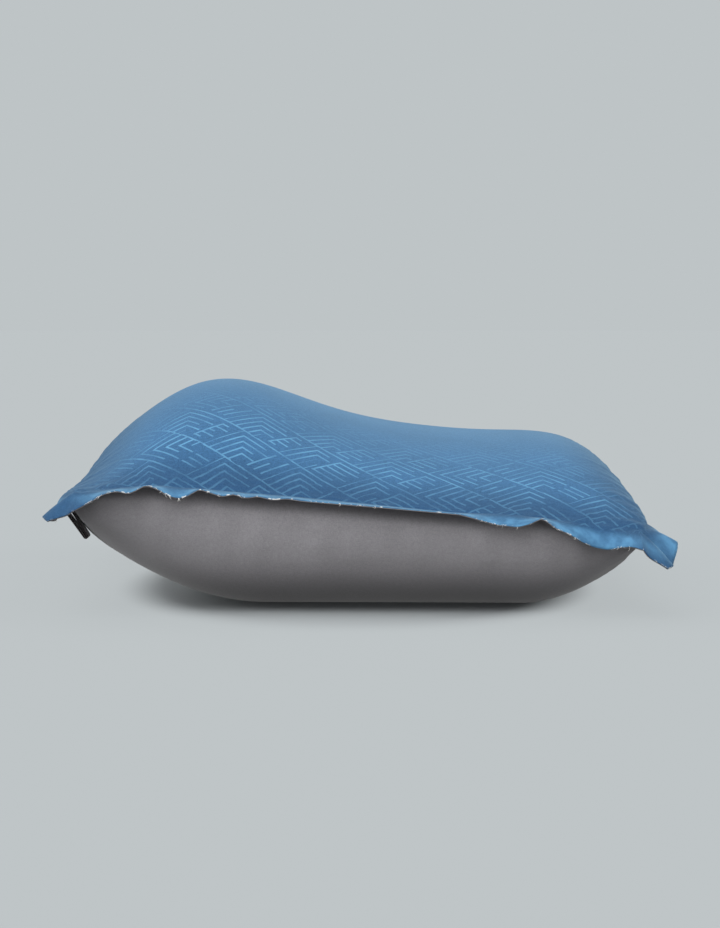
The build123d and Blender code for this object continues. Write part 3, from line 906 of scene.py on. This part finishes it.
def moulded(name, colour, **settings):
    """Moulded plastic with a fine grain, scuffed a little."""
    material, nodes, shader = new_material(name, **settings)
    place = nodes.object_place()
    scuffs = nodes.ramp(nodes.noise(place, 130, 4.0, 0.65), 0.5, 0.72, 0.0, 0.3)
    paler = tuple(min(1.0, 1.9 * c + 0.02) for c in colour[:3]) + (1,)
    nodes.put(shader.inputs["Base Color"], nodes.mix(scuffs, colour, paler))
    grain = nodes.noise(place, 2600, 2.0, 0.6)
    nodes.put(shader.inputs["Roughness"], nodes.ramp(grain, 0.3, 0.7, 0.38, 0.56, smooth=False))
    nodes.bump(shader, grain, 0.25, 0.05 * MM)
    return material


# ---- Building the covers -------------------------------------------------------------------------


def cut_valve_hole(base):
    """The round hole in the lower cover that the valve's collar stands in."""
    turn = Vector((0, 0, 1)).rotation_difference(VALVE_OUT)
    bpy.ops.mesh.primitive_cylinder_add(
        vertices=96, radius=COVER_HOLE_RADIUS, depth=24 * MM, location=VALVE, rotation=turn.to_euler()
    )
    punch = bpy.context.active_object
    hole = base.modifiers.new("valve_hole", "BOOLEAN")
    hole.operation = "DIFFERENCE"
    hole.solver = "EXACT"
    hole.object = punch
    apply_modifiers(base)
    bpy.data.objects.remove(punch)


def build_covers():
    """Both covers with their flange. Returns their grids, for what is sewn to them and frays from them."""
    u, v = spaced(CELLS_ACROSS), spaced(CELLS_ALONG)
    grid_u, grid_v = np.meshgrid(u, v, indexing="ij")
    upper, lower = upper_surface(grid_u, grid_v), lower_surface(grid_u, grid_v)
    upper, lower = settled(upper, lower, grid_u, grid_v)
    upper = puckered(upper, grid_u, grid_v, UPPER_PUCKERS, 51)
    lower = above_ground(puckered(lower, grid_u, grid_v, LOWER_PUCKERS, 64))
    knit, plain = printed_knit(), grey_fabric()
    inwards = np.pad(from_weld(grid_u, grid_v), FLANGE_CELLS)
    top_grid, share, ear = with_flange(upper, u, v, LAYER)
    values = {"flange_share": share, "ear_share": ear, "inwards": inwards}
    top = cover("upper_cover_fabric", top_grid, values, True, knit)
    thicken(top, LAYER)
    finish_piece(top, "air_chamber")
    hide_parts("upper_cover")
    base_grid = with_flange(lower, u, v, -LAYER)[0]
    base = cover("lower_cover_fabric", base_grid, values, False, plain)
    thicken(base, LAYER)
    cut_valve_hole(base)
    finish_piece(base, "air_chamber")
    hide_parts("lower_cover")
    return top_grid, base_grid


# ---- Webbing loops -------------------------------------------------------------------------------


def tape(name, centre_line, width, thickness, material):
    """A strip of woven tape: one cut end, extruded from point to point along its centre line."""
    deselect_all()
    bpy.ops.mesh.primitive_plane_add(size=width)
    piece = bpy.context.active_object
    piece.name = name
    set_mode("EDIT")
    bpy.ops.mesh.select_all(action="DESELECT")
    set_mode("OBJECT")
    for vertex in piece.data.vertices:
        vertex.select = vertex.co.x > 0
    set_mode("EDIT")
    bpy.ops.mesh.delete(type="VERT")
    bpy.ops.mesh.select_all(action="SELECT")
    to_start = Vector(centre_line[0]) - Vector((-width / 2, 0, 0))
    bpy.ops.transform.translate(value=to_start)
    for here, there in zip(centre_line, centre_line[1:]):
        step = Vector(there) - Vector(here)
        bpy.ops.mesh.extrude_region_move(TRANSFORM_OT_translate={"value": step})
    set_mode("OBJECT")
    place_tape_uv(piece, centre_line)
    piece.data.materials.append(material)
    solidify = piece.modifiers.new("thickness", "SOLIDIFY")
    solidify.thickness = thickness
    solidify.offset = 0
    bevel = piece.modifiers.new("soft_edges", "BEVEL")
    bevel.width = 0.2 * thickness
    bevel.segments = 2
    apply_modifiers(piece)
    piece.data.shade_smooth()
    return piece


def place_tape_uv(piece, centre_line):
    """Lengths along and across the tape as UVs."""
    mesh = piece.data
    lengths = [0.0]
    for here, there in zip(centre_line, centre_line[1:]):
        lengths.append(lengths[-1] + (Vector(there) - Vector(here)).length)
    middle = centre_line[0][1]
    uv = mesh.uv_layers.new(name="flat")
    for loop in mesh.loops:
        place = mesh.vertices[loop.vertex_index].co
        nearest = min(range(len(lengths)), key=lambda n: (Vector(centre_line[n]).xz - place.xz).length)
        uv.data[loop.index].uv = (lengths[nearest], place.y - middle)


def stitches(name, places, direction, material):
    """A row of short stitches, each one a copy of the first, laid at its place."""
    bpy.ops.mesh.primitive_cylinder_add(vertices=8, radius=STITCH_RADIUS, depth=STITCH_LENGTH)
    first = bpy.context.active_object
    bevel = first.modifiers.new("rounded_ends", "BEVEL")
    bevel.width = 0.1 * MM
    apply_modifiers(first)
    turn = Vector((0, 0, 1)).rotation_difference(Vector(direction)).to_matrix().to_4x4()
    row = [laid_copy(first, name, Matrix.Translation(place) @ turn) for place in places]
    bpy.data.objects.remove(first)
    return joined(row, name, material)


def build_loop(side, base_grid, material, yarn):
    """A tape folded to a loop that swings, and its two ends, sewn together under the flange."""
    name = "near" if side < 0 else "far"
    hinge = Vector((LOOP_HINGE.x, side * LOOP_HINGE.y, LOOP_HINGE.z))
    lean = Matrix.Rotation(-LOOP_LEAN, 3, "Y")
    fold = [(-LOOP_TOP_HALF, 0.4 * MM), (-LOOP_TOP_HALF, -1.2 * MM)]
    fold += [(-1.35 * MM, -6 * MM), (-1.1 * MM, -13 * MM)]
    centre = -LOOP_DROP + LOOP_TIP_HALF
    for turn in np.linspace(math.pi, 2 * math.pi, 9):
        fold.append((LOOP_TIP_HALF * math.cos(turn), centre + LOOP_TIP_HALF * math.sin(turn)))
    fold += [(-x, z) for x, z in reversed(fold[:4])]
    path = [hinge + lean @ Vector((x, 0, z)) for x, z in fold]
    loop = tape(f"{name}_loop_ribbon", path, LOOP_WIDTH, RIBBON, material)
    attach(loop, f"{name}_webbing")
    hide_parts(f"{name}_loop")

    column = int(np.argmin(np.abs(base_grid[FLANGE_CELLS, :, 1] - hinge.y)))
    under = [Vector(base_grid[FLANGE_CELLS - ring, column]) for ring in (1, 3, 5)]
    sewn = [Vector((p.x, hinge.y, p.z - RIBBON)) for p in under]
    sewn += [hinge + Vector((-0.4 * MM, 0, 1.1 * MM)), hinge + lean @ Vector((0, 0, 0.1 * MM))]
    end = tape(f"{name}_loop_sewn_end", sewn, LOOP_WIDTH, 2 * RIBBON, material)
    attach(end, "air_chamber")
    along = (sewn[1] - sewn[0]).normalized()
    below = along.cross(Vector((0, 1, 0))).normalized()
    if below.z > 0:
        below = -below
    seam = sewn[0].lerp(sewn[1], 0.6) + below * RIBBON
    shifts = np.linspace(-STITCH_ROW_HALF, STITCH_ROW_HALF, STITCHES)
    places = [seam + Vector((0, shift * MM, 0)) for shift in shifts]
    row = stitches(f"{name}_loop_stitches", places, along, yarn)
    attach(row, "air_chamber")


# ---- Frayed threads on the cut edge --------------------------------------------------------------


def turn_faces_outwards(piece):
    bpy.context.view_layer.objects.active = piece
    set_mode("EDIT")
    bpy.ops.mesh.select_all(action="SELECT")
    bpy.ops.mesh.normals_make_consistent(inside=False)
    set_mode("OBJECT")


def loose_thread(points):
    """One thread: a small ring, extruded along its few points and drawn thin at its end."""
    bpy.ops.mesh.primitive_circle_add(vertices=5, radius=THREAD_RADIUS, fill_type="NGON")
    piece = bpy.context.active_object
    set_mode("EDIT")
    bpy.ops.mesh.select_all(action="SELECT")
    for here, there in zip(points, points[1:]):
        bpy.ops.mesh.extrude_region_move(TRANSFORM_OT_translate={"value": Vector(there) - Vector(here)})
        bpy.ops.transform.resize(value=(THREAD_TAPER,) * 3, center_override=Vector(there))
    set_mode("OBJECT")
    turn_faces_outwards(piece)
    return piece


def build_threads(top_grid, material):
    """White threads of the cut knit, in tufts along the flange's edge, most of them at the ruffled end."""
    shapes = [loose_thread([tuple(c * MM for c in p) for p in points]) for points in THREAD_SHAPES]
    draw = np.random.default_rng(73)
    edges = [
        (top_grid[:, 0], top_grid[:, 1], NEAR_THREADS),
        (top_grid[:, -1], top_grid[:, -2], OTHER_THREADS),
        (top_grid[0], top_grid[1], OTHER_THREADS),
        (top_grid[-1], top_grid[-2], OTHER_THREADS),
    ]
    tufts = []
    for edge, inner, count in edges:
        starts = np.repeat(draw.integers(CORNER_CELLS, len(edge) - CORNER_CELLS, count // TUFT), TUFT)
        for start in starts:
            at = int(np.clip(start + draw.integers(-2, 3), 1, len(edge) - 2))
            place = Vector(edge[at]) - Vector((0, 0, 0.4 * LAYER))
            out = (Vector(edge[at]) - Vector(inner[at])).normalized()
            along = (Vector(edge[at + 1]) - Vector(edge[at - 1])).normalized()
            if draw.random() < 0.5:
                along = -along
            out = (out + Vector((0, 0, draw.uniform(-0.7, 0.3)))).normalized()
            side = out.cross(along).normalized()
            turn = Matrix((along, side, out)).transposed().to_4x4()
            size = draw.uniform(0.45, 1.1)
            shape = shapes[int(draw.integers(len(shapes)))]
            lie = Matrix.Translation(place - out * 0.3 * MM) @ turn @ Matrix.Scale(size, 4)
            tufts.append(laid_copy(shape, "thread", lie))
    for shape in shapes:
        bpy.data.objects.remove(shape)
    frayed = joined(tufts, "frayed_edge_threads", material)
    turn_faces_outwards(frayed)
    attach(frayed, "air_chamber")


# ---- Valve and baffles ---------------------------------------------------------------------------


def dress(node, material):
    """Gives a piece of the frame its finish."""
    piece = bpy.data.objects[node]
    piece.data.materials.clear()
    piece.data.materials.append(material)


def dress_frame():
    valve = moulded("moulded_valve", VALVE_BLACK, Specular_IOR_Level=0.45)
    disc = moulded("soft_disc", DISC_BLACK, Specular_IOR_Level=0.4)
    film = moulded("film", FILM_GREY, Specular_IOR_Level=0.4)
    for node in ("valve_seat", "deflate_plug", "disc_cage", "inflate_cap"):
        dress(node, valve)
    dress("check_disc", disc)
    for node in ("middle_baffle", "rear_baffle"):
        dress(node, film)


# ---- Stage ---------------------------------------------------------------------------------------


def build_stage():
    """A plain pale floor, wide enough to meet the background without a line, and partly lit by itself."""
    bpy.ops.mesh.primitive_circle_add(vertices=96, radius=FLOOR_RADIUS, fill_type="NGON")
    floor = bpy.context.active_object
    floor.name = "studio_floor"
    material, nodes, shader = new_material("studio_paper", Roughness=1.0, Specular_IOR_Level=0.0)
    place = nodes.object_place()
    mottle = nodes.ramp(nodes.noise(place, 5.0), 0.3, 0.7, 0.0, 0.04)
    nodes.put(shader.inputs["Base Color"], nodes.mix(mottle, PAPER, PAPER_MOTTLE))
    shares = tuple(1 / half for half in CONTACT_HALVES) + (0,)
    scaled = nodes.add("ShaderNodeVectorMath", {0: place, 1: shares}, operation="MULTIPLY").outputs[0]
    away = nodes.add("ShaderNodeVectorMath", {0: scaled}, operation="LENGTH").outputs["Value"]
    own_light = nodes.add("ShaderNodeEmission", {"Color": PAPER_LIT}).outputs[0]
    lit_share = nodes.ramp(away, 0.96, 1.25, 0.02, 0.85)
    both = nodes.add("ShaderNodeMixShader", {0: lit_share, 1: shader.outputs[0], 2: own_light})
    nodes.put(material.node_tree.nodes["Material Output"].inputs["Surface"], both.outputs[0])
    floor.data.materials.append(material)
    floor.visible_diffuse = False


def sun(name, azimuth, elevation, strength, width):
    """A far light in the direction given in degrees, azimuth from +X towards +Y."""
    data = bpy.data.lights.new(name, "SUN")
    data.energy = strength
    data.angle = math.radians(width)
    lamp = bpy.data.objects.new(name, data)
    a, e = math.radians(azimuth), math.radians(elevation)
    towards = Vector((math.cos(a) * math.cos(e), math.sin(a) * math.cos(e), math.sin(e)))
    lamp.rotation_euler = towards.to_track_quat("Z", "Y").to_euler()
    lamp.location = towards
    bpy.context.scene.collection.objects.link(lamp)


def build_light():
    """The far lights, and a dome of even light that is darker from below and paper-white to the camera."""
    world = bpy.data.worlds.new("studio")
    world.use_nodes = True
    nodes = Nodes(world.node_tree)
    background = world.node_tree.nodes["Background"]
    up = nodes.parts(nodes.add("ShaderNodeTexCoord").outputs["Generated"])[2]
    dome = nodes.mix(nodes.ramp(up, -0.15, 0.05), FROM_BELOW, AMBIENT)
    seen = nodes.add("ShaderNodeLightPath").outputs["Is Camera Ray"]
    nodes.put(background.inputs["Color"], nodes.mix(seen, dome, PAPER_LIT))
    bpy.context.scene.world = world
    for name, values in LIGHTS.items():
        sun(name, *values)
    bpy.context.scene.view_settings.view_transform = "Standard"


def build_camera():
    """Level with the short near end and just above it, from a long lens."""
    data = bpy.data.cameras.new("view")
    camera = bpy.data.objects.new("view", data)
    bpy.context.scene.collection.objects.link(camera)
    outwards = Vector((0, -math.cos(CAMERA_ELEVATION), math.sin(CAMERA_ELEVATION)))
    camera.location = CAMERA_TARGET + CAMERA_DISTANCE * outwards
    aim = CAMERA_TARGET + CAMERA_SHIFT
    camera.rotation_euler = (aim - camera.location).to_track_quat("-Z", "Y").to_euler()
    data.sensor_width = SENSOR_MM
    data.lens = LENS_MM
    bpy.context.scene.camera = camera


build_camera()
build_stage()
build_light()
top_grid, base_grid = build_covers()
webbing = brown_webbing()
brown_yarn = thread("brown_yarn", BROWN_YARN)
for side in (-1, 1):
    build_loop(side, base_grid, webbing, brown_yarn)
build_threads(top_grid, thread("cut_thread", CUT_YARN))
dress_frame()
